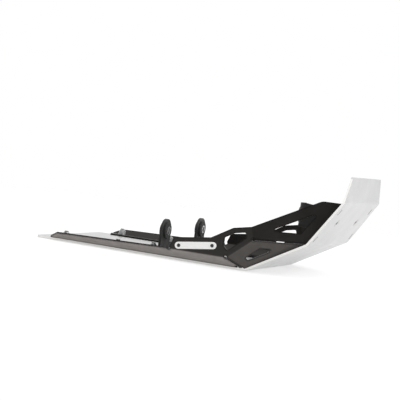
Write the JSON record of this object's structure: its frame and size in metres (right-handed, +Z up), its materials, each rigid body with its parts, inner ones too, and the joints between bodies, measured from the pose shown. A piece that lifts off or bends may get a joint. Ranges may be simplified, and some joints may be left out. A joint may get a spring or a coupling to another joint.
{
  "type": "motorcycle skid plate",
  "caption": "Folded aluminium engine guard with black bent side panels, air windows, a bare badge plate and rubber-bushed mounting brackets.",
  "frame": {"origin": "on the flat bottom's under face, midway along the plate and between its two sides", "axes": "+X forward towards the front wheel, +Y to the rider's left, +Z up"},
  "size_m": [0.4568, 0.25, 0.1493],
  "materials": {
    "base_sheet": "satin, bead blasted and anodised",
    "panel_coat": "satin black powder coat on aluminium sheet",
    "bracket_coat": "matte black powder coat",
    "badge_metal": "fine brushed, bare",
    "rivet_metal": "plain",
    "screw_steel": "stainless",
    "washer_steel": "stainless",
    "nut_steel": "stainless, nylon collar under the steel skirt",
    "sleeve_steel": "zinc plated",
    "bush_rubber": "moulded"
  },
  "bodies": {
    "root": {"base_plate": "base_sheet", "side_panel_right": "panel_coat", "side_panel_left": "panel_coat", "badge_plate": "badge_metal", "badge_rivets": "rivet_metal", "front_bracket": "bracket_coat", "front_bracket_screws": "screw_steel", "front_bracket_washers": "washer_steel", "front_bracket_nuts": "nut_steel", "front_rubber_bushes": "bush_rubber", "front_sleeves": "sleeve_steel", "rear_bracket": "bracket_coat", "rear_bracket_screws": "screw_steel", "rear_bracket_washers": "washer_steel", "rear_bracket_nuts": "nut_steel", "rear_rubber_bushes": "bush_rubber", "rear_sleeves": "sleeve_steel", "side_panel_screws": "screw_steel", "side_panel_washers": "washer_steel", "side_panel_nuts": "nut_steel"}
  },
  "joints": []
}
